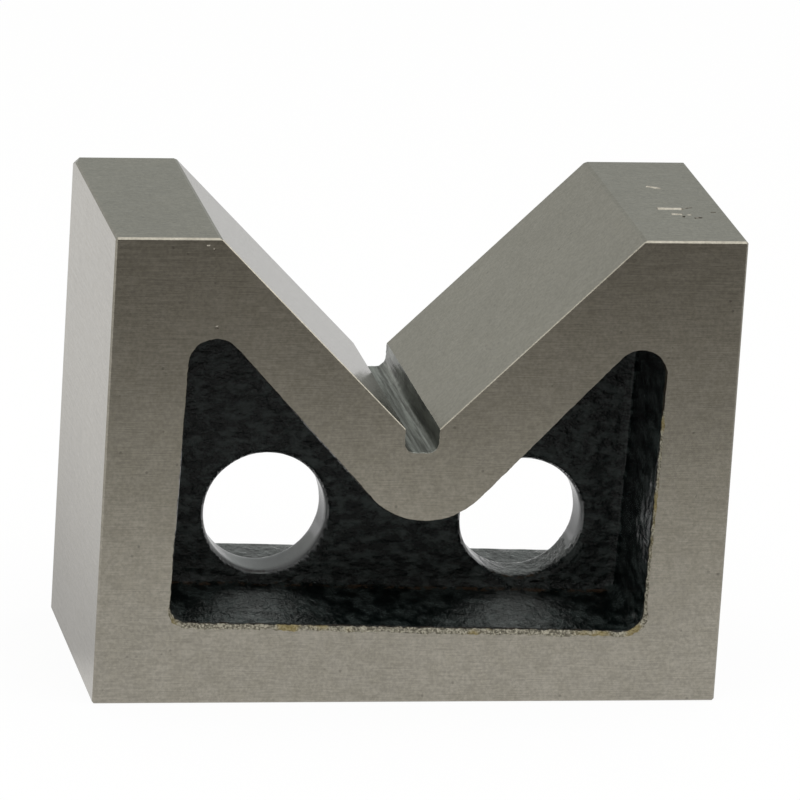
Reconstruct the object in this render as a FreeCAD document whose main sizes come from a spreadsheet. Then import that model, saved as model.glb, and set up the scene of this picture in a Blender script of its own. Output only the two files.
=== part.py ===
"""Vee block: one iron casting, ground on its outside and along the vee, with cored pockets.

Millimetres.  X runs along the block's length, Y across its width and Z up, and the origin
is the centre of the ground base.  The vee and the relief slot at its bottom run along Y.
A pocket is cored into each of the -Y and +Y faces.  What stands between the two pockets is
a thin web with two round cored holes, and a rib of even thickness follows the vee.
"""
import FreeCAD, Part
import math
import os

import Sketcher

NODE = "vee_block"

# Driving dimensions, by their alias in the sheet.  The cores that form the pockets sat a
# little turned in the mould, so the heights in a pocket are taken in its core's turned frame.
DIMENSIONS = {
    # Ground outside.
    "block_length": 100.0,
    "block_width": 46.0,
    "block_height": 76.0,
    "vee_mouth": 67.0,
    "vee_angle": 90.0,
    "relief_width": 5.25,
    "relief_floor_height": 41.4,
    "relief_corner": 1.6,
    "edge_break": 0.3,
    "vee_edge_break": 0.15,
    # Cored pockets.
    "core_tilt": 1.3,
    "core_pivot_height": 35.0,
    "core_half_width": 37.9,
    "core_floor_height": 12.45,
    "core_corner": 3.0,
    "core_draft": 1.5,
    "lobe_centre_height": 54.8,
    "lobe_radius": 4.1,
    "nose_offset": 1.1,
    "nose_height": 30.0,
    "nose_radius": 11.8,
    "back_core_drop": 1.6,
    # Web between the pockets.
    "web_thickness": 8.0,
    "web_fillet": 1.5,
    "hole_spacing": 41.6,
    "hole_height": 25.0,
    "hole_radius": 9.55,
    "hole_rim": 0.8,
}

SHEET = "dims"
START, END, CENTRE = 1, 2, 3  # points of a sketch line or arc
ORIGIN = (-1, START)  # the sketch's own origin
UPRIGHT_AXIS = -2  # the sketch's own y axis
NEAR = 0.01  # how close to a plane an edge counts as lying in it


def make_sheet(doc):
    """Spreadsheet that holds every driving dimension as a plain number with an alias."""
    sheet = doc.addObject("Spreadsheet::Sheet", SHEET)
    for row, (alias, value) in enumerate(DIMENSIONS.items(), start=1):
        sheet.set(f"A{row}", alias)
        sheet.set(f"B{row}", str(value))
        sheet.setAlias(f"B{row}", alias)
    doc.recompute()


# Sketch helpers


def new_sketch(body, name):
    """Empty sketch on the body's XZ plane: its x is +X, its y is +Z and its normal is -Y."""
    sketch = body.newObject("Sketcher::SketchObject", name)
    plane = next(p for p in body.Origin.OriginFeatures if p.Role == "XZ_Plane")
    sketch.AttachmentSupport = [(plane, "")]
    sketch.MapMode = "FlatFace"
    return sketch


def line(start, end):
    """Sketch line between two (x, y) points."""
    return Part.LineSegment(FreeCAD.Vector(*start, 0), FreeCAD.Vector(*end, 0))


def arc(centre, radius, start_angle, end_angle):
    """Sketch arc that runs anticlockwise between two directions, in radians."""
    circle = Part.Circle(FreeCAD.Vector(*centre, 0), FreeCAD.Vector(0, 0, 1), radius)
    return Part.ArcOfCircle(circle, start_angle, end_angle)


def constrain(sketch, kind, *where):
    """Geometric constraint between parts of the sketch."""
    sketch.addConstraint(Sketcher.Constraint(kind, *where))


def dimension(sketch, name, formula, kind, *where):
    """Dimensional constraint that follows a formula of the sheet's cells."""
    value = sketch.evalExpression(formula)
    if kind == "Angle":
        value = math.radians(value)
    index = sketch.addConstraint(Sketcher.Constraint(kind, *where, value))
    sketch.renameConstraint(index, name)
    sketch.setExpression(f"Constraints.{name}", formula)


# Feature helpers


def cut(doc, body, name, sketch, kind, side="One side", reverse=False, formulas=None):
    """Pocket cut from a sketch, checked to have taken material away."""
    doc.recompute()
    before = body.Shape.Volume
    pocket = body.newObject("PartDesign::Pocket", name)
    pocket.Profile = sketch
    pocket.Type = kind
    pocket.SideType = side
    pocket.Reversed = reverse
    for prop, formula in (formulas or {}).items():
        pocket.setExpression(prop, formula)
    doc.recompute()
    if pocket.Shape.Volume >= before - NEAR:
        raise RuntimeError(f"{name} cuts nothing")
    return pocket


def dress(doc, body, kind, name, prop, formula, wanted):
    """Fillet or chamfer on the edges of the body that the test picks out."""
    doc.recompute()
    base = body.Tip
    edges = [f"Edge{i}" for i, edge in enumerate(base.Shape.Edges, start=1) if wanted(edge)]
    feature = body.newObject(kind, name)
    feature.Base = (base, edges)
    feature.setExpression(prop, formula)
    doc.recompute()
    return feature


def lies_in_web_face(edge):
    """True for an edge that lies in one of the web's two flat faces."""
    half_web = DIMENSIONS["web_thickness"] / 2
    box = edge.BoundBox
    return any(abs(box.YMin - y) < NEAR and abs(box.YMax - y) < NEAR for y in (-half_web, half_web))


# Ground outside


def make_block(doc, body):
    """Solid M-shaped block: base, two sides, two horns and the vee between them."""
    half_length = DIMENSIONS["block_length"] / 2
    top = DIMENSIONS["block_height"]
    half_mouth = DIMENSIONS["vee_mouth"] / 2
    corners = [
        (-half_length, 0),
        (half_length, 0),
        (half_length, top),
        (half_mouth, top),
        (0, top - half_mouth),
        (-half_mouth, top),
        (-half_length, top),
    ]
    sketch = new_sketch(body, "block_outline")
    ring = sketch.addGeometry([line(a, b) for a, b in zip(corners, corners[1:] + corners[:1])])
    base, right, right_top, right_flank, left_flank, left_top, left = ring
    for here, following in zip(ring, ring[1:] + ring[:1]):
        constrain(sketch, "Coincident", here, END, following, START)
    for level in (base, right_top, left_top):
        constrain(sketch, "Horizontal", level)
    for upright in (right, left):
        constrain(sketch, "Vertical", upright)
    constrain(sketch, "Symmetric", base, START, base, END, *ORIGIN)
    constrain(sketch, "Symmetric", right_flank, START, left_flank, END, UPRIGHT_AXIS)
    constrain(sketch, "PointOnObject", right_flank, END, UPRIGHT_AXIS)
    dimension(sketch, "length", "dims.block_length", "Distance", base)
    dimension(sketch, "height", "dims.block_height", "Distance", left)
    dimension(
        sketch, "mouth", "dims.vee_mouth", "DistanceX", left_flank, END, right_flank, START
    )
    dimension(sketch, "angle", "dims.vee_angle", "Angle", right_flank, END, left_flank, START)
    doc.recompute()

    block = body.newObject("PartDesign::Pad", "block")
    block.Profile = sketch
    block.SideType = "Symmetric"
    block.setExpression("Length", "dims.block_width")
    doc.recompute()


def make_relief(doc, body):
    """Narrow slot along the bottom of the vee, with rounded corners at its floor."""
    half = DIMENSIONS["relief_width"] / 2
    floor = DIMENSIONS["relief_floor_height"]
    corner = DIMENSIONS["relief_corner"]
    top = DIMENSIONS["block_height"]
    sketch = new_sketch(body, "relief_outline")
    floor_line, right_corner, right, lid, left, left_corner = sketch.addGeometry([
        line((-half + corner, floor), (half - corner, floor)),
        arc((half - corner, floor + corner), corner, 1.5 * math.pi, 2 * math.pi),
        line((half, floor + corner), (half, top)),
        line((half, top), (-half, top)),
        line((-half, top), (-half, floor + corner)),
        arc((-half + corner, floor + corner), corner, math.pi, 1.5 * math.pi),
    ])
    constrain(sketch, "Tangent", floor_line, END, right_corner, START)
    constrain(sketch, "Tangent", right_corner, END, right, START)
    constrain(sketch, "Coincident", right, END, lid, START)
    constrain(sketch, "Coincident", lid, END, left, START)
    constrain(sketch, "Tangent", left, END, left_corner, START)
    constrain(sketch, "Tangent", left_corner, END, floor_line, START)
    constrain(sketch, "Equal", right_corner, left_corner)
    constrain(sketch, "Vertical", right)
    constrain(sketch, "Symmetric", lid, START, lid, END, UPRIGHT_AXIS)
    constrain(sketch, "Symmetric", floor_line, START, floor_line, END, UPRIGHT_AXIS)
    dimension(sketch, "width", "dims.relief_width", "DistanceX", lid, END, lid, START)
    dimension(sketch, "corner", "dims.relief_corner", "Radius", right_corner)
    dimension(
        sketch, "floor", "dims.relief_floor_height", "DistanceY", *ORIGIN, floor_line, START
    )
    dimension(sketch, "lid", "dims.block_height", "DistanceY", *ORIGIN, lid, START)
    cut(doc, body, "relief", sketch, "ThroughAll", side="Symmetric")


def break_ground_edges(doc, body):
    """Small chamfers on the ground edges: finer at the vee's two ends, and none at the slot."""
    slot_mouth = DIMENSIONS["block_height"] - (DIMENSIONS["vee_mouth"] - DIMENSIONS["relief_width"]) / 2

    def is_vee_end(edge):
        box = edge.BoundBox
        return box.ZMax > slot_mouth + NEAR and box.XLength > NEAR and box.ZLength > NEAR

    def is_outer(edge):
        box = edge.BoundBox
        in_slot = box.ZMin > DIMENSIONS["relief_floor_height"] - NEAR and box.ZMax < slot_mouth + NEAR
        return not in_slot and not is_vee_end(edge)

    dress(doc, body, "PartDesign::Chamfer", "broken_vee_ends", "Size", "dims.vee_edge_break", is_vee_end)
    dress(doc, body, "PartDesign::Chamfer", "broken_edges", "Size", "dims.edge_break", is_outer)


# Cored pockets


def touch_direction(nose, nose_radius, lobe, lobe_radius, side):
    """Direction, in radians, from the nose's centre to where a straight flank touches its arc.

    The flank crosses from the underside of the rib's nose to the upper side of a lobe, so it
    touches the lobe's arc in the opposite direction.  Side is 1 for +x and -1 for -x.
    """
    reach = math.dist(nose, lobe)
    slope = math.atan2(lobe[1] - nose[1], lobe[0] - nose[0])
    return slope - side * math.acos((nose_radius + lobe_radius) / reach)


def polar(centre, radius, angle):
    """Point at a distance and direction from a centre."""
    return centre[0] + radius * math.cos(angle), centre[1] + radius * math.sin(angle)


def make_core_outline(body, name, end_height, drop):
    """Outline of one pocket: flat floor, upright walls, and two lobes either side of the rib.

    The sketch's origin is the point about which the core is turned.  End_height is the sheet
    formula of the sketch's distance towards -Y, and drop is how much lower the core sits.
    """
    pivot = DIMENSIONS["core_pivot_height"]
    half = DIMENSIONS["core_half_width"]
    floor = DIMENSIONS["core_floor_height"] - pivot
    corner = DIMENSIONS["core_corner"]
    lobe_radius = DIMENSIONS["lobe_radius"]
    nose_radius = DIMENSIONS["nose_radius"]
    right_lobe_centre = (half - lobe_radius, DIMENSIONS["lobe_centre_height"] - pivot)
    left_lobe_centre = (-right_lobe_centre[0], right_lobe_centre[1])
    nose_centre = (DIMENSIONS["nose_offset"], DIMENSIONS["nose_height"] + nose_radius - pivot)
    right_touch = touch_direction(nose_centre, nose_radius, right_lobe_centre, lobe_radius, 1)
    left_touch = touch_direction(nose_centre, nose_radius, left_lobe_centre, lobe_radius, -1)

    sketch = new_sketch(body, name)
    ring = sketch.addGeometry([
        line((corner - half, floor), (half - corner, floor)),
        arc((half - corner, floor + corner), corner, 1.5 * math.pi, 2 * math.pi),
        line((half, floor + corner), (half, right_lobe_centre[1])),
        arc(right_lobe_centre, lobe_radius, 0, right_touch + math.pi),
        line(
            polar(right_lobe_centre, lobe_radius, right_touch + math.pi),
            polar(nose_centre, nose_radius, right_touch),
        ),
        arc(nose_centre, nose_radius, left_touch, right_touch),
        line(
            polar(nose_centre, nose_radius, left_touch),
            polar(left_lobe_centre, lobe_radius, left_touch + math.pi),
        ),
        arc(left_lobe_centre, lobe_radius, left_touch + math.pi, math.pi),
        line((-half, left_lobe_centre[1]), (-half, floor + corner)),
        arc((corner - half, floor + corner), corner, math.pi, 1.5 * math.pi),
    ])
    base, right_corner, right, right_lobe, right_flank = ring[:5]
    nose, left_flank, left_lobe, left, left_corner = ring[5:]
    constrain(sketch, "Tangent", base, END, right_corner, START)
    constrain(sketch, "Tangent", right_corner, END, right, START)
    constrain(sketch, "Tangent", right, END, right_lobe, START)
    constrain(sketch, "Tangent", right_lobe, END, right_flank, START)
    constrain(sketch, "Tangent", right_flank, END, nose, END)
    constrain(sketch, "Tangent", nose, START, left_flank, START)
    constrain(sketch, "Tangent", left_flank, END, left_lobe, START)
    constrain(sketch, "Tangent", left_lobe, END, left, START)
    constrain(sketch, "Tangent", left, END, left_corner, START)
    constrain(sketch, "Tangent", left_corner, END, base, START)
    constrain(sketch, "Horizontal", base)
    constrain(sketch, "Vertical", right)
    constrain(sketch, "Vertical", left)
    constrain(sketch, "Equal", right_corner, left_corner)
    constrain(sketch, "Equal", right_lobe, left_lobe)
    constrain(sketch, "Horizontal", right_lobe, CENTRE, left_lobe, CENTRE)
    dimension(sketch, "right", "dims.core_half_width", "DistanceX", *ORIGIN, right, START)
    dimension(sketch, "left", "dims.core_half_width", "DistanceX", left, END, *ORIGIN)
    dimension(
        sketch, "floor", "dims.core_pivot_height - dims.core_floor_height",
        "DistanceY", base, START, *ORIGIN,
    )
    dimension(sketch, "corner", "dims.core_corner", "Radius", right_corner)
    dimension(sketch, "lobe", "dims.lobe_radius", "Radius", right_lobe)
    dimension(
        sketch, "lobe_height", "dims.lobe_centre_height - dims.core_pivot_height",
        "DistanceY", *ORIGIN, right_lobe, CENTRE,
    )
    dimension(sketch, "nose", "dims.nose_radius", "Radius", nose)
    dimension(sketch, "nose_offset", "dims.nose_offset", "DistanceX", *ORIGIN, nose, CENTRE)
    dimension(
        sketch, "nose_height", "dims.nose_height + dims.nose_radius - dims.core_pivot_height",
        "DistanceY", *ORIGIN, nose, CENTRE,
    )
    turn_with_core(sketch, end_height, drop)
    return sketch


def turn_with_core(sketch, end_height, drop):
    """Set a sketch into the core's frame: raised to the pivot and turned towards +X."""
    sketch.AttachmentOffset = FreeCAD.Placement(
        FreeCAD.Vector(), FreeCAD.Rotation(FreeCAD.Vector(0, 0, -1), DIMENSIONS["core_tilt"])
    )
    sketch.setExpression("AttachmentOffset.Rotation.Angle", "dims.core_tilt")
    sketch.setExpression("AttachmentOffset.Base.y", f"dims.core_pivot_height - {drop}")
    sketch.setExpression("AttachmentOffset.Base.z", end_height)


def make_pockets(doc, body):
    """Front and back pockets, narrowing with the core's draft down to the web."""
    formulas = {
        "Length": "(dims.block_width - dims.web_thickness) / 2",
        "TaperAngle": "-dims.core_draft",
    }
    front = make_core_outline(body, "front_core", "dims.block_width / 2", "0")
    cut(doc, body, "front_pocket", front, "Length", formulas=formulas)
    back = make_core_outline(body, "back_core", "-dims.block_width / 2", "dims.back_core_drop")
    cut(doc, body, "back_pocket", back, "Length", reverse=True, formulas=formulas)
    dress(
        doc, body, "PartDesign::Fillet", "web_fillets", "Radius", "dims.web_fillet",
        lies_in_web_face,
    )


def make_web_holes(doc, body):
    """Two round holes through the web, with the rounded rims of a casting."""
    half = DIMENSIONS["hole_spacing"] / 2
    radius = DIMENSIONS["hole_radius"]
    height = DIMENSIONS["hole_height"] - DIMENSIONS["core_pivot_height"]
    sketch = new_sketch(body, "web_hole_outlines")
    normal = FreeCAD.Vector(0, 0, 1)
    right, left = sketch.addGeometry([
        Part.Circle(FreeCAD.Vector(half, height, 0), normal, radius),
        Part.Circle(FreeCAD.Vector(-half, height, 0), normal, radius),
    ])
    constrain(sketch, "Equal", right, left)
    constrain(sketch, "Symmetric", left, CENTRE, right, CENTRE, UPRIGHT_AXIS)
    dimension(sketch, "hole", "dims.hole_radius", "Radius", right)
    dimension(sketch, "spacing", "dims.hole_spacing", "DistanceX", left, CENTRE, right, CENTRE)
    dimension(
        sketch, "drop", "dims.core_pivot_height - dims.hole_height",
        "DistanceY", right, CENTRE, *ORIGIN,
    )
    turn_with_core(sketch, "0", "0")
    cut(doc, body, "web_holes", sketch, "ThroughAll", side="Symmetric")

    def is_rim(edge):
        return (
            lies_in_web_face(edge)
            and isinstance(edge.Curve, Part.Circle)
            and abs(edge.Curve.Radius - radius) < NEAR
        )

    dress(doc, body, "PartDesign::Fillet", "hole_rims", "Radius", "dims.hole_rim", is_rim)


def check(doc, body):
    """Stop if any object of the document failed or the finished shape is not one sound solid."""
    for item in doc.Objects:
        if {"Invalid", "Error"} & set(item.State):
            raise RuntimeError(f"{item.Name} failed: {item.State}")
    shape = body.Shape
    if shape.isNull() or not shape.isValid() or len(shape.Solids) != 1:
        raise RuntimeError(f"{body.Label} is not one valid solid")


def main():
    doc = FreeCAD.newDocument("vee_block")
    make_sheet(doc)
    body = doc.addObject("PartDesign::Body", NODE)
    body.Label = NODE
    body.Placement = FreeCAD.Placement()
    make_block(doc, body)
    make_relief(doc, body)
    break_ground_edges(doc, body)
    make_pockets(doc, body)
    make_web_holes(doc, body)
    doc.recompute()
    check(doc, body)
    os.makedirs("parts", exist_ok=True)
    body.Shape.exportStep(f"parts/{body.Label}.step")
    box = body.Shape.BoundBox
    print(f"{body.Label}: {box.XLength:.2f} x {box.YLength:.2f} x {box.ZLength:.2f} mm,"
          f" {body.Shape.Volume / 1000:.1f} cm3")


main()
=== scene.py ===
import math
import random

import bmesh
import bpy
from mathutils import Matrix, Vector, noise


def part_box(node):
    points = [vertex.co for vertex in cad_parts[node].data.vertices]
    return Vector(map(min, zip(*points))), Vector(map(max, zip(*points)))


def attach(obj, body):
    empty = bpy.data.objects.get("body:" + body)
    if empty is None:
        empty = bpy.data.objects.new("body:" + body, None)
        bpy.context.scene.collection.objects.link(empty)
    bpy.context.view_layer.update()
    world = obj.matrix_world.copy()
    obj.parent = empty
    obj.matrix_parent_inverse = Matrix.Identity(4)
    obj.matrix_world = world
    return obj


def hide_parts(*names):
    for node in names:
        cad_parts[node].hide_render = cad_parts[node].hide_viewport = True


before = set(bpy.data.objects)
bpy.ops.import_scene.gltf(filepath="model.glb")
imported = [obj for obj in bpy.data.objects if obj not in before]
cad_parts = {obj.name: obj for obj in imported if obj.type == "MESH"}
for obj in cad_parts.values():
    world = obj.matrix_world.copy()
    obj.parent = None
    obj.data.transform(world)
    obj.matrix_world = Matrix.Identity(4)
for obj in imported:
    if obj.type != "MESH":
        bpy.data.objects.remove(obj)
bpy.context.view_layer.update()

# Metres throughout, in the part's own frame: +X along the block, +Y along the vee, +Z up.
NODE = "vee_block"
BODY = "root"
MM = 0.001
LOW, HIGH = (Vector(corner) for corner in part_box(NODE))
VEE_REACH = 36 * MM  # z - |x| is above this on the vee and its slot, and below it in the pockets
FACE_BAND = 0.5 * MM  # how near the outside of the block a ground face's centre lies
GROUND, CAST = 0, 1  # the two kinds of surface
CORNER_CLIP = 0.75 * MM  # how deep the knock on the left horn's back corner goes

# Relief slot at the bottom of the vee.
SLOT_HALF = 2.625 * MM
SLOT_FLOOR = 41.4 * MM
SLOT_CORNER = 1.6 * MM
SLOT_TOP = 47 * MM
SLOT_OVERRUN = 2 * MM  # how far its cutter runs past each end face
SLOT_STEPS = 100

# Holes through the web, and how the cored ones differ from their nominal place.
HOLE_X = 20.8 * MM
HOLE_HEIGHT = 25 * MM
HOLE_RADIUS = 9.55 * MM
WEB_HALF = 3.6 * MM
BORE_WIDER = 0.26 * MM
BORE_DRIFT = Vector((0.42, 0, -0.40)) * MM
BORE_FLARE = 0.3 * MM  # how much wider still the front rim is

# Cored pockets and their mouths.
CORE_VOXEL = 0.5 * MM
MOUTH_STANDOFF = 3 * MM  # how far the core stands out of each end face
MOUTH_REFINED = 1.8 * MM
FLARE_DEPTH = 0.8 * MM
FLARE_REACH = 0.85 * MM

random.seed(7)


# Mesh helpers


def object_from(name, bm):
    """New object from a bmesh, which it frees."""
    mesh = bpy.data.meshes.new(name)
    bm.to_mesh(mesh)
    bm.free()
    obj = bpy.data.objects.new(name, mesh)
    bpy.context.scene.collection.objects.link(obj)
    return obj


def apply_modifiers(obj):
    """Replace the object's mesh by its evaluated mesh, with no modifiers left."""
    graph = bpy.context.evaluated_depsgraph_get()
    mesh = bpy.data.meshes.new_from_object(obj.evaluated_get(graph))
    obj.modifiers.clear()
    obj.data = mesh


def mark_faces(mesh, kind):
    """Number every face by the surface it belongs to; the number outlives the cuts."""
    for name in ("ground", "cast"):
        mesh.materials.append(bpy.data.materials.get(name) or bpy.data.materials.new(name))
    mesh.polygons.foreach_set("material_index", [kind] * len(mesh.polygons))


def boolean_difference(target, cutter, kind):
    """Cut one closed mesh out of another, and remove the cutter."""
    mark_faces(cutter.data, kind)
    modifier = target.modifiers.new("cut", "BOOLEAN")
    modifier.operation = "DIFFERENCE"
    modifier.solver = "MANIFOLD"
    modifier.object = cutter
    apply_modifiers(target)
    bpy.data.objects.remove(cutter, do_unlink=True)


def smoothstep(low, high, value):
    """0 at low, 1 at high, with a smooth run between; low may be the larger."""
    t = min(max((value - low) / (high - low), 0), 1)
    return t * t * (3 - 2 * t)


def is_ground(point):
    """True on the ground outside, the vee and the slot; false inside the cored pockets."""
    gap = min(point.x - LOW.x, HIGH.x - point.x, point.y - LOW.y, HIGH.y - point.y,
              point.z - LOW.z, HIGH.z - point.z)
    return gap < FACE_BAND or point.z - abs(point.x) > VEE_REACH


def in_slot(point):
    """True within the relief slot's section."""
    return abs(point.x) < SLOT_HALF + 0.2 * MM and SLOT_FLOOR - MM < point.z < SLOT_TOP


def block_bmesh():
    """The CAD block as one welded bmesh, without its imported normals."""
    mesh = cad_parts[NODE].data.copy()
    mesh.attributes.remove(mesh.attributes["custom_normal"])
    bm = bmesh.new()
    bm.from_mesh(mesh)
    bpy.data.meshes.remove(mesh)
    bmesh.ops.remove_doubles(bm, verts=bm.verts, dist=1e-6)
    return bm


def open_edges(bm):
    """Edges with a face on one side only."""
    return [edge for edge in bm.edges if edge.is_boundary]


# The casting


def clip_corner(bm):
    """Small knock on the left horn's back corner."""
    corner = Vector((LOW.x, HIGH.y, HIGH.z))
    outward = Vector((-1, 0.3, 1.0)).normalized()
    place = corner - outward * CORNER_CLIP
    geometry = [*bm.verts, *bm.edges, *bm.faces]
    bmesh.ops.bisect_plane(bm, geom=geometry, plane_co=place, plane_no=outward, clear_outer=True)
    bmesh.ops.holes_fill(bm, edges=open_edges(bm), sides=0)


def make_envelope():
    """The block with its pockets filled level with the end faces."""
    bm = block_bmesh()
    cast = [face for face in bm.faces if not is_ground(face.calc_center_median())]
    bmesh.ops.delete(bm, geom=cast, context="FACES")
    bmesh.ops.holes_fill(bm, edges=open_edges(bm), sides=0)
    clip_corner(bm)
    bmesh.ops.triangulate(bm, faces=bm.faces)
    return object_from("block", bm)


def round_mouth(point, right_share, left_share, upper_share):
    """Share for this place round the pocket's mouth: 1 along its lower edge, less elsewhere."""
    x, z = point.x / MM, point.z / MM
    lower = smoothstep(18, 14, z)
    right_wall = right_share * smoothstep(34, 36, x) * smoothstep(52, 46, z)
    left_wall = left_share * smoothstep(-34, -36, x)
    return max(lower, right_wall, left_wall, upper_share)


def flare(point):
    """How far the mouth stands outside the enamel's edge at this point, in metres."""
    depth = abs(point.y) - (HIGH.y - FLARE_DEPTH)
    if depth <= 0:
        return 0
    place = point / MM
    ragged = 1 + 0.35 * noise.noise(place * 0.9) + 0.25 * noise.noise(place * 2.3)
    reach = FLARE_REACH * round_mouth(point, right_share=0.55, left_share=0.3, upper_share=0.22)
    return reach * ragged * smoothstep(0, 0.7 * FLARE_DEPTH, depth)


def bore_spoke(point):
    """From the axis of the nearer web hole to this point, square to the axis."""
    return Vector((point.x - math.copysign(HOLE_X, point.x), 0, point.z - HOLE_HEIGHT))


def in_bore(point):
    """True on the wall of one of the web's two holes."""
    return bore_spoke(point).length < HOLE_RADIUS + 0.9 * MM and abs(point.y) < WEB_HALF


def bore_shift(point):
    """How far the cored hole came out of its place here: wider, and a little right and down."""
    spoke = bore_spoke(point)
    share = smoothstep(HOLE_RADIUS + 2.5 * MM, HOLE_RADIUS + 1 * MM, spoke.length)
    wider = BORE_WIDER + BORE_FLARE * smoothstep(-2 * MM, -4.4 * MM, point.y)
    return (spoke.normalized() * wider + BORE_DRIFT) * share


def skin(point):
    """Height of the enamelled casting's skin: broad waves, lumps and grain, in metres."""
    if in_bore(point):
        return 0.05 * MM * noise.noise(point / MM / 4)
    place = Vector((point.x / 2.2, point.y, point.z)) / MM
    waves = 0.15 * noise.noise(place / 10)
    lumps = 0.13 * noise.noise(place / 1.5 + Vector((7, 3, 1)))
    grain = 0.04 * noise.noise(place / 0.8 + Vector((2, 9, 4)))
    return (waves + lumps + grain) * MM


def refine_mouths(bm):
    """Halve the core's faces near both end faces, where the rough edge needs them."""
    near = HIGH.y - MOUTH_REFINED
    far = HIGH.y + 1 * MM
    edges = [edge for edge in bm.edges
             if all(near < abs(vert.co.y) < far for vert in edge.verts)]
    bmesh.ops.subdivide_edges(bm, edges=edges, cuts=1, use_grid_fill=True)


def shape_core(mesh):
    """Give the core its cast skin, its rough mouths and its shifted holes."""
    bm = bmesh.new()
    bm.from_mesh(mesh)
    refine_mouths(bm)
    bm.normal_update()
    moves = []
    for vert in bm.verts:
        calm = 1 - 0.65 * smoothstep(HIGH.y - 3 * MM, HIGH.y - 1 * MM, abs(vert.co.y))
        move = vert.normal * skin(vert.co) * calm + bore_shift(vert.co)
        side = Vector((vert.normal.x, 0, vert.normal.z))
        if side.length > 0.5:
            move += side.normalized() * flare(vert.co)
        moves.append(move)
    for vert, move in zip(bm.verts, moves):
        vert.co += move
    bm.to_mesh(mesh)
    bm.free()


def make_core():
    """Closed solid of the space inside the pockets and the web's holes, with a cast skin."""
    bm = block_bmesh()
    ground = [face for face in bm.faces if is_ground(face.calc_center_median())]
    bmesh.ops.delete(bm, geom=ground, context="FACES")
    bmesh.ops.reverse_faces(bm, faces=bm.faces)
    grown = bmesh.ops.extrude_edge_only(bm, edges=open_edges(bm))["geom"]
    for vert in (item for item in grown if isinstance(item, bmesh.types.BMVert)):
        vert.co.y += math.copysign(MOUTH_STANDOFF, vert.co.y)
    bmesh.ops.holes_fill(bm, edges=open_edges(bm), sides=0)
    bmesh.ops.triangulate(bm, faces=bm.faces)
    bmesh.ops.recalc_face_normals(bm, faces=bm.faces)
    core = object_from("core", bm)
    remesh = core.modifiers.new("remesh", "REMESH")
    remesh.mode = "VOXEL"
    remesh.voxel_size = CORE_VOXEL
    apply_modifiers(core)
    shape_core(core.data)
    return core


def slot_section():
    """Points of the relief slot's section and their outward directions, from left to right."""
    points = []
    wall_steps, corner_steps, floor_steps = 16, 8, 4
    for step in range(wall_steps + 1):
        z = SLOT_TOP + (SLOT_FLOOR + SLOT_CORNER - SLOT_TOP) * step / wall_steps
        points.append((Vector((-SLOT_HALF, 0, z)), Vector((-1, 0, 0))))
    centre = Vector((-SLOT_HALF + SLOT_CORNER, 0, SLOT_FLOOR + SLOT_CORNER))
    for step in range(1, corner_steps):
        angle = math.pi + math.pi / 2 * step / corner_steps
        outward = Vector((math.cos(angle), 0, math.sin(angle)))
        points.append((centre + outward * SLOT_CORNER, outward))
    for step in range(floor_steps + 1):
        x = (-SLOT_HALF + SLOT_CORNER) * (1 - step / floor_steps)
        points.append((Vector((x, 0, SLOT_FLOOR)), Vector((0, 0, -1))))
    mirrored = [(Vector((-place.x, 0, place.z)), Vector((-outward.x, 0, outward.z)))
                for place, outward in reversed(points[:-1])]
    return points + mirrored


def make_slot_cutter():
    """The relief slot's space, with the ridges that its cutter left along it."""
    bm = bmesh.new()
    section = slot_section()
    rows = []
    length = HIGH.y - LOW.y + 2 * SLOT_OVERRUN
    for step in range(SLOT_STEPS + 1):
        y = LOW.y - SLOT_OVERRUN + length * step / SLOT_STEPS
        row = []
        for number, (place, outward) in enumerate(section):
            ridge = noise.noise(Vector((number * 0.7, y / MM / 14, 5)))
            pit = noise.noise(Vector((number * 0.9, y / MM / 1.1, 9)))
            depth = (0.11 + 0.08 * ridge + 0.05 * pit) * MM
            row.append(bm.verts.new(Vector((place.x, y, place.z)) + outward * depth))
        rows.append(row)
    count = len(section)
    for first, second in zip(rows, rows[1:]):
        for left in range(count):
            right = (left + 1) % count
            bm.faces.new((first[left], first[right], second[right], second[left]))
    bm.faces.new(rows[0])
    bm.faces.new(list(reversed(rows[-1])))
    bmesh.ops.recalc_face_normals(bm, faces=bm.faces)
    return object_from("slot_cutter", bm)


def add_stroke(bm, place, length, width, depth, turn):
    """Closed sliver with a diamond section, pointed at both ends, that cuts one mark."""
    half = length / 2
    ring = ((width / 2, 0), (0, depth), (-width / 2, 0), (0, -depth))
    turned = Matrix.Translation(place) @ Matrix.Rotation(math.radians(turn), 4, "Z")
    ends = [bm.verts.new(turned @ Vector((x, 0, 0))) for x in (-half, half)]
    rings = []
    for share in (-0.86, -0.3, 0.25, 0.82):
        size = random.uniform(0.8, 1.15)
        rings.append([bm.verts.new(turned @ Vector((half * share, y * size, z * size)))
                      for y, z in ring])
    for number in range(4):
        after = (number + 1) % 4
        bm.faces.new((ends[0], rings[0][number], rings[0][after]))
        bm.faces.new((ends[1], rings[-1][after], rings[-1][number]))
        for near, far in zip(rings, rings[1:]):
            bm.faces.new((near[number], far[number], far[after], near[after]))


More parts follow.
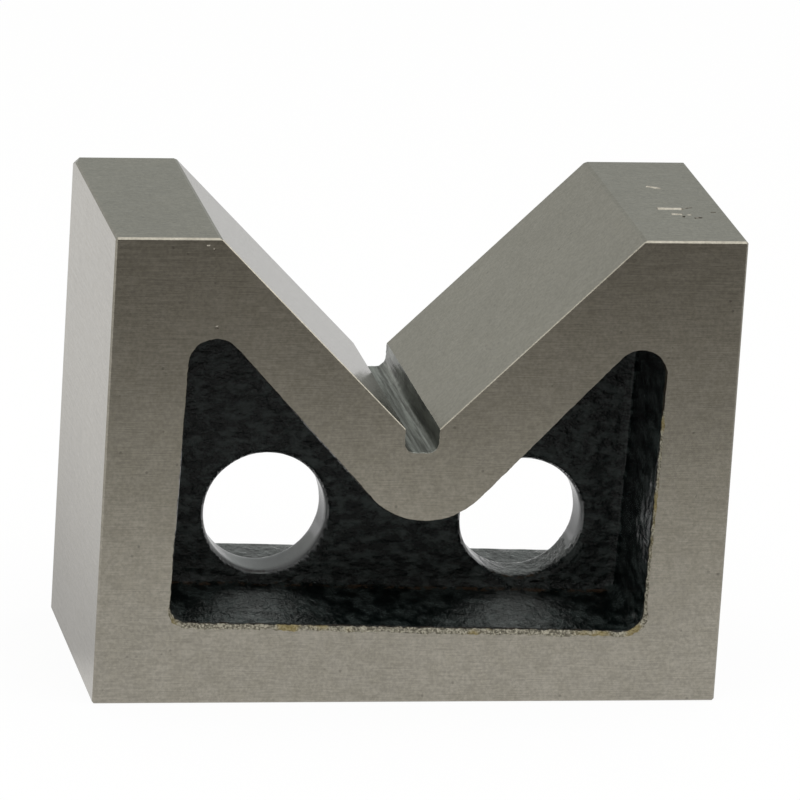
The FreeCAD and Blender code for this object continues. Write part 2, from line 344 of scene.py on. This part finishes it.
def make_nicks():
    """Strokes and pits in the right horn's top, and three specks in the front face."""
    top, front = HIGH.z / MM, LOW.y / MM
    marks = (
        # x, y, z, length, width and depth in mm, and the turn in degrees
        (41.5, 7.8, top, 2.7, 0.9, 0.32, -32),
        (41.5, -4.5, top, 4.6, 1.35, 0.55, -2),
        (44.5, -4.0, top, 1.5, 0.5, 0.9, 24),
        (41.9, -7.6, top, 2.0, 0.9, 0.22, -6),
        (42.7, -8.9, top, 0.9, 0.4, 0.7, 60),
        (44.9, -9.6, top, 1.5, 0.6, 1.0, 15),
        (43.9, -7.9, top, 0.9, 0.5, 0.2, 10),
        (48.0, -6.4, top, 0.9, 0.5, 0.6, 0),
        (-35.5, front, 74.9, 0.6, 0.2, 0.16, 0),
        (-34.6, front, 74.2, 0.3, 0.2, 0.3, 0),
        (-33.5, front, 61.7, 0.5, 0.2, 0.3, 0),
    )
    bm = bmesh.new()
    for x, y, z, length, width, depth, turn in marks:
        place = Vector((x, y, z)) * MM
        add_stroke(bm, place, length * MM, width * MM, depth * MM, turn)
    bmesh.ops.recalc_face_normals(bm, faces=bm.faces)
    return object_from("nick_cutter", bm)


def make_block():
    """The whole casting as one closed mesh."""
    block = make_envelope()
    mark_faces(block.data, GROUND)
    boolean_difference(block, make_slot_cutter(), GROUND)
    boolean_difference(block, make_core(), CAST)
    boolean_difference(block, make_nicks(), GROUND)
    return block


def is_flat(face):
    """True for a face of one of the flat ground planes, or of their narrow edge breaks."""
    return not in_slot(face.calc_center_median()) or abs(face.normal.y) > 0.7


def take_part(block, name, kind):
    """New object with the block's ground faces or its cast ones."""
    bm = bmesh.new()
    bm.from_mesh(block.data)
    away = [face for face in bm.faces if face.material_index != kind]
    bmesh.ops.delete(bm, geom=away, context="FACES")
    for face in bm.faces:
        face.material_index = 0
        face.smooth = kind == CAST or not is_flat(face)
    obj = object_from(name, bm)
    obj.data.materials.clear()
    return obj


# Where each finish lies


def lay_coordinates(place, normal):
    """Along and across the grinding marks, in metres, on the face with this normal.

    The numbers that are added keep the marks of one face from running on into another.
    """
    if place.z - abs(place.x) > VEE_REACH and abs(normal.y) < 0.7 and place.z < HIGH.z - MM:
        return place.y, 1.4 * place.x + place.z * math.copysign(0.1, place.x) + 0.2
    if abs(normal.y) > 0.7:
        return place.x, place.z + math.copysign(0.3, place.y)
    if abs(normal.x) > 0.7:
        return place.y, place.z + math.copysign(0.6, place.x)
    return place.x, place.y + math.copysign(0.9, place.z - 20 * MM)


def lay_out(obj):
    """UV map whose U runs along the grinding marks."""
    mesh = obj.data
    layer = mesh.uv_layers.new(name="lay")
    for polygon in mesh.polygons:
        for loop in polygon.loop_indices:
            place = mesh.vertices[mesh.loops[loop].vertex_index].co
            layer.data[loop].uv = lay_coordinates(place, polygon.normal)


def write_marks(mesh, domain, marks):
    """Store lists of numbers as named attributes of the mesh."""
    for name, values in marks.items():
        mesh.attributes.new(name, "FLOAT", domain).data.foreach_set("value", values)


def mark_finish(obj):
    """Face attributes for the milled relief slot and the finer ground flanks of the vee."""
    marks = {"milled": [], "honed": []}
    for face in obj.data.polygons:
        along_vee = face.center.z - abs(face.center.x) > VEE_REACH and abs(face.normal.y) < 0.3
        milled = along_vee and in_slot(face.center)
        sloping = abs(face.normal.x) > 0.6 and face.normal.z > 0.6
        marks["milled"].append(1.0 if milled else 0.0)
        marks["honed"].append(1.0 if along_vee and sloping and not milled else 0.0)
    write_marks(obj.data, "FACE", marks)


def mark_wear(obj):
    """Point attributes for the mouth's rim, its bare casting, the web's crease, bores and walls."""
    marks = {"rim": [], "bare": [], "crease": [], "bore": [], "wall": []}
    for vert in obj.data.vertices:
        place, normal = vert.co, vert.normal
        rim = smoothstep(-0.05 * MM, 0.25 * MM, abs(place.y) - (HIGH.y - FLARE_DEPTH))
        crease = smoothstep(0.75, 0.9, normal.z) * smoothstep(0.12, 0.3, abs(normal.y))
        marks["rim"].append(rim)
        worn = round_mouth(place, right_share=0.72, left_share=0.3, upper_share=0.2)
        marks["bare"].append(rim * worn)
        marks["crease"].append(crease * smoothstep(16 * MM, 14.5 * MM, place.z) * (1 - rim))
        marks["bore"].append(1.0 if in_bore(place) else 0.0)
        marks["wall"].append(smoothstep(0.6, 0.9, abs(normal.x)))
    write_marks(obj.data, "POINT", marks)


# Materials


class Shader:
    """The node tree of a material or a world, with short calls that add and link a node."""

    def __init__(self, owner):
        owner.use_nodes = True
        self.owner = owner
        self.tree = owner.node_tree
        self.tree.nodes.clear()

    def add(self, kind, inputs=None, output=0, **settings):
        """Add a node; inputs are values or other nodes' outputs, by name or number."""
        node = self.tree.nodes.new(kind)
        for key, value in settings.items():
            setattr(node, key, value)
        for key, value in (inputs or {}).items():
            if isinstance(value, bpy.types.NodeSocket):
                self.tree.links.new(value, node.inputs[key])
            else:
                node.inputs[key].default_value = value
        return node.outputs[output]

    def mark(self, name):
        """One of the mesh's own numbers, by its attribute's name."""
        return self.add("ShaderNodeAttribute", output="Fac", attribute_name=name,
                        attribute_type="GEOMETRY")

    def axis(self, vector, number):
        return self.add("ShaderNodeSeparateXYZ", {"Vector": vector}, output=number)

    def noise(self, vector, scale, detail=2, roughness=0.5):
        inputs = {"Vector": vector, "Scale": scale, "Detail": detail, "Roughness": roughness}
        return self.add("ShaderNodeTexNoise", inputs)

    def stretched(self, vector, scale):
        return self.add("ShaderNodeMapping", {"Vector": vector, "Scale": scale})

    def math(self, operation, first, second):
        return self.add("ShaderNodeMath", {0: first, 1: second}, operation=operation)

    def product(self, first, *others):
        for other in others:
            first = self.math("MULTIPLY", first, other)
        return first

    def ramp(self, value, low, high, start=0.0, end=1.0, smooth=True):
        """From start to end while the value goes from low to high."""
        inputs = {"Value": value, "From Min": low, "From Max": high, "To Min": start, "To Max": end}
        kind = "SMOOTHSTEP" if smooth else "LINEAR"
        return self.add("ShaderNodeMapRange", inputs, interpolation_type=kind)

    def mix(self, factor, first, second, blend="MIX"):
        inputs = {0: factor, 6: first, 7: second}
        return self.add("ShaderNodeMix", inputs, output=2, data_type="RGBA", blend_type=blend)

    def mix_value(self, factor, first, second):
        return self.add("ShaderNodeMix", {0: factor, 2: first, 3: second}, data_type="FLOAT")

    def finish(self, shader, output="ShaderNodeOutputMaterial"):
        """Link the shader to the tree's output, and return the material or world."""
        node = self.tree.nodes.new(output)
        self.tree.links.new(shader, node.inputs["Surface"])
        return self.owner


def rgb(red, green, blue):
    return (red, green, blue, 1)


def ground_iron():
    """Surface-ground cast iron: warm grey, with fine marks along the lay and faint clouding."""
    s = Shader(bpy.data.materials.new("marked_iron"))
    lay = s.add("ShaderNodeUVMap", uv_map="lay")
    place = s.add("ShaderNodeTexCoord", output="Object")
    clouds = s.noise(place, 55, 3)
    mottle = s.noise(place, 420, 4, 0.6)
    flakes = s.noise(place, 1900, 2, 0.6)
    long_marks = s.noise(s.stretched(lay, (90, 1900, 1)), 1, 3, 0.6)
    fine_marks = s.noise(s.stretched(lay, (240, 5200, 1)), 1, 2, 0.6)
    pits = s.add("ShaderNodeTexVoronoi", {"Vector": place, "Scale": 620.0}, feature="F1")
    few = s.ramp(s.noise(place, 300, 1), 0.58, 0.66)
    pit = s.product(s.ramp(pits, 0.10, 0.2, 1, 0), few)
    tone = s.product(s.ramp(clouds, 0.3, 0.7, 0.97, 1.03), s.ramp(mottle, 0.3, 0.7, 0.975, 1.025),
                     s.ramp(long_marks, 0.3, 0.7, 0.975, 1.025),
                     s.ramp(fine_marks, 0.3, 0.7, 0.91, 1.09),
                     s.ramp(flakes, 0.3, 0.7, 0.90, 1.10), s.ramp(pit, 0, 1, 1, 0.72))
    tone = s.add("ShaderNodeCombineColor", {0: tone, 1: tone, 2: tone})
    iron = s.mix(s.ramp(mottle, 0.35, 0.65), rgb(0.274, 0.256, 0.214), rgb(0.282, 0.264, 0.224))
    # The milled slot is darker than the ground faces and streaked: the streaks are its tool marks,
    # and the darkness is painted shade deep in the groove.
    streaks = s.noise(s.stretched(lay, (60, 1400, 1)), 1, 4, 0.65)
    dull_and_shaded = s.mix(s.ramp(streaks, 0.36, 0.62), rgb(0.07, 0.07, 0.06), rgb(0.27, 0.28, 0.255))
    milled, honed = s.mark("milled"), s.mark("honed")
    colour = s.mix(1.0, s.mix(milled, iron, dull_and_shaded), tone, "MULTIPLY")
    rough = s.math("ADD", s.ramp(long_marks, 0.3, 0.7, 0.22, 0.26), s.ramp(milled, 0, 1, 0, 0.1))
    rough = s.mix_value(honed, rough, s.ramp(fine_marks, 0.40, 0.60, 0.08, 0.2))
    height = s.math("ADD", s.product(fine_marks, 0.6), s.product(long_marks, 0.4))
    height = s.math("SUBTRACT", height, s.product(pit, 0.8))
    bump = s.add("ShaderNodeBump", {"Height": height, "Strength": 0.35, "Distance": 0.02 * MM})
    along = s.add("ShaderNodeTangent", direction_type="UV_MAP", uv_map="lay")
    return s.finish(s.add("ShaderNodeBsdfPrincipled", {
        "Base Color": colour, "Metallic": 1.0, "Roughness": rough, "Normal": bump,
        "Specular Tint": rgb(0.935, 0.93, 0.925),
        "Anisotropic": 0.6, "Anisotropic Rotation": 0.25, "Tangent": along,
    }))


def black_enamel():
    """Black enamel over the rough casting, worn back to bare metal at the mouth."""
    s = Shader(bpy.data.materials.new("run_enamel"))
    place = s.add("ShaderNodeTexCoord", output="Object")
    drawn = s.stretched(place, (0.6, 0.35, 1))
    rim, bore = s.mark("rim"), s.mark("bore")

    # Lighter and darker blotches in the enamel's colour: painted sheen standing for the mottled
    # reflections of its lumpy film.
    sheen_blotch = s.noise(drawn, 640, 5, 0.62)
    black = s.mix(s.ramp(sheen_blotch, 0.42, 0.64),
                  rgb(0.0010, 0.0028, 0.0026), rgb(0.0300, 0.0385, 0.0370))
    # The holes' walls are painted pale grey: a painted reflection of the bright room, which the
    # glossy black walls show at a grazing angle.
    black = s.mix(bore, black, rgb(0.22, 0.226, 0.232))
    # A thin, lighter reddish-brown line along the crease at the foot of the web.
    crease_line = s.product(s.mark("crease"), s.ramp(s.noise(place, 700, 3, 0.7), 0.42, 0.6))
    black = s.mix(crease_line, black, rgb(0.045, 0.028, 0.017))
    black = s.mix(s.product(rim, 0.8), black, rgb(0.030, 0.024, 0.017))

    grains = s.noise(place, 2600, 3, 0.7)
    metal = s.mix(s.ramp(grains, 0.4, 0.62), rgb(0.13, 0.12, 0.09), rgb(0.50, 0.47, 0.38))
    rusty = s.ramp(s.noise(place, 160, 2), 0.52, 0.64, 0, 0.7)
    metal = s.mix(rusty, metal, rgb(0.30, 0.235, 0.08))

    chips = s.product(s.math("SUBTRACT", s.noise(place, 900, 3, 0.6), 0.5), 1.1)
    bare = s.ramp(s.math("ADD", s.mark("bare"), chips), 0.42, 0.56)
    calm = s.product(s.ramp(bore, 0, 1, 1, 0.12), s.ramp(s.mark("wall"), 0, 1, 1, 0.3))
    film = s.math("ADD", s.noise(drawn, 1050, 4, 0.62), s.product(s.noise(place, 3000, 2), 0.15))
    height = s.math("ADD", s.product(film, calm), s.product(grains, bare, 0.6))
    bump = s.add("ShaderNodeBump", {"Height": height, "Strength": 1.0, "Distance": 0.6 * MM})
    return s.finish(s.add("ShaderNodeBsdfPrincipled", {
        "Base Color": s.mix(bare, black, metal), "Roughness": s.ramp(bare, 0, 1, 0.07, 0.75),
        "Normal": bump, "Specular IOR Level": 0.25,
    }))


# Studio


def make_floor():
    """Floor just below the block, white to the camera.

    What the metal reflects of it is darker in front of the block, where its colour is painted shade
    for the light falling off, and a little dimmer behind, a painted shadow of the block.
    """
    dark, pale = -0.25, -0.07  # y between which the floor in front turns from dark to pale
    dull_and_shaded, lit = -0.10, -0.072  # y between which its reflection turns white
    dimmed = 0.3  # how much less the metal reflects of it behind the block
    bm = bmesh.new()
    bmesh.ops.create_circle(bm, cap_ends=True, segments=96, radius=3)
    bmesh.ops.translate(bm, verts=bm.verts, vec=(0, 0, LOW.z - 0.05 * MM))
    floor = object_from("floor", bm)
    s = Shader(bpy.data.materials.new("pale_floor"))
    place = s.add("ShaderNodeTexCoord", output="Object")
    x, y = s.axis(place, 0), s.axis(place, 1)
    front = s.ramp(y, dark, pale, smooth=False)
    # Floor colour painted dark in front of the block: painted shade for the light falling off
    # there.
    colour = s.mix(front, rgb(0.160, 0.150, 0.138), rgb(0.92, 0.92, 0.91))
    diffuse = s.add("ShaderNodeBsdfDiffuse", {"Color": colour})
    path = s.tree.nodes.new("ShaderNodeLightPath").outputs
    seen = s.product(path["Is Glossy Ray"], s.ramp(y, dull_and_shaded, lit))
    seen = s.math("MAXIMUM", seen, path["Is Camera Ray"])
    seen = s.math("MAXIMUM", seen, path["Is Transmission Ray"])
    # Painted shadow of the block on the floor: it dims only what the metal reflects just behind the
    # block.
    shade = s.product(s.ramp(x, -0.076, -0.054, 0, dimmed), s.ramp(y, -0.015, 0.005))
    strength = s.math("SUBTRACT", 1.0, s.product(path["Is Glossy Ray"], shade))
    white = s.add("ShaderNodeEmission", {"Color": rgb(1, 1, 1), "Strength": strength})
    lifted = s.add("ShaderNodeMixShader", {0: s.product(seen, 0.94), 1: diffuse, 2: white})
    floor.data.materials.append(s.finish(lifted))


def make_world():
    """Plain studio round the floor: pale behind and above, dimmer on the camera's side."""
    s = Shader(bpy.data.worlds.new("studio"))
    towards = s.add("ShaderNodeTexCoord", output="Generated")
    x, y, z = (s.axis(towards, number) for number in range(3))
    colour = s.mix(s.ramp(y, -0.6, 0.5), rgb(0.225, 0.21, 0.195), rgb(0.58, 0.61, 0.59))
    colour = s.mix(s.ramp(x, 0.1, -0.8), colour, rgb(0.76, 0.76, 0.73))
    colour = s.mix(s.ramp(x, 0.6, 0.9), colour, rgb(1.1, 1.08, 1.05))
    colour = s.mix(s.ramp(z, 0.45, 0.9), colour, rgb(0.8, 0.8, 0.78))
    background = s.add("ShaderNodeBackground", {"Color": colour, "Strength": 1.0})
    bpy.context.scene.world = s.finish(background, "ShaderNodeOutputWorld")


def add_lamp(name, place, aim, size, power):
    """Soft square lamp that faces a point."""
    light = bpy.data.lights.new(name, "AREA")
    light.shape = "SQUARE"
    light.size = size
    light.energy = power
    lamp = bpy.data.objects.new(name, light)
    lamp.location = place
    lamp.rotation_euler = (Vector(aim) - Vector(place)).to_track_quat("-Z", "Y").to_euler()
    bpy.context.scene.collection.objects.link(lamp)


def make_camera(azimuth, elevation, roll, distance, lens, across, up_by):
    """Camera turned round the block by angles in degrees, then moved across and up, in metres."""
    azimuth, elevation, roll = (math.radians(angle) for angle in (azimuth, elevation, roll))
    back = Vector((math.sin(azimuth) * math.cos(elevation),
                   -math.cos(azimuth) * math.cos(elevation), math.sin(elevation)))
    level = Vector((math.cos(azimuth), math.sin(azimuth), 0))
    upright = back.cross(level)
    right = level * math.cos(roll) + upright * math.sin(roll)
    up = upright * math.cos(roll) - level * math.sin(roll)
    data = bpy.data.cameras.new("camera")
    data.sensor_width = 36
    data.lens = lens
    data.clip_start = 0.05
    data.clip_end = 20
    camera = bpy.data.objects.new("camera", data)
    place = right * across + up * up_by + back * distance
    turn = Matrix((right, up, back)).transposed().to_4x4()
    camera.matrix_world = Matrix.Translation(place) @ turn
    bpy.context.scene.collection.objects.link(camera)
    bpy.context.scene.camera = camera


def make_pieces():
    """The casting's ground outside and its enamelled pockets, in place of the CAD block."""
    block = make_block()
    casting = take_part(block, "ground_casting", GROUND)
    pockets = take_part(block, "enamelled_pockets", CAST)
    bpy.data.objects.remove(block, do_unlink=True)
    lay_out(casting)
    mark_finish(casting)
    mark_wear(pockets)
    for piece, slot, material in ((casting, "ground_iron", ground_iron()),
                                  (pockets, "black_enamel", black_enamel())):
        piece.data.materials.append(material)
        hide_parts(NODE)
        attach(piece, BODY)


# A long lens above and to the left, with a slight roll.
make_camera(azimuth=-11.67, elevation=17.10, roll=3.62, distance=1.21971, lens=341.72,
            across=3.36 * MM, up_by=40.80 * MM)
make_pieces()
make_floor()
make_world()
add_lamp("key", place=(0.05, -0.14, 0.62), aim=(0, 0, 0.03), size=0.8, power=2.4)
add_lamp("left_edge", place=(-0.62, -0.30, 0.55), aim=(0, 0, 0.05), size=0.25, power=0.22)
add_lamp("right_edge", place=(0.78, -0.06, 0.40), aim=(0, 0, 0.05), size=0.25, power=0.32)

bpy.context.scene.view_settings.view_transform = "Standard"
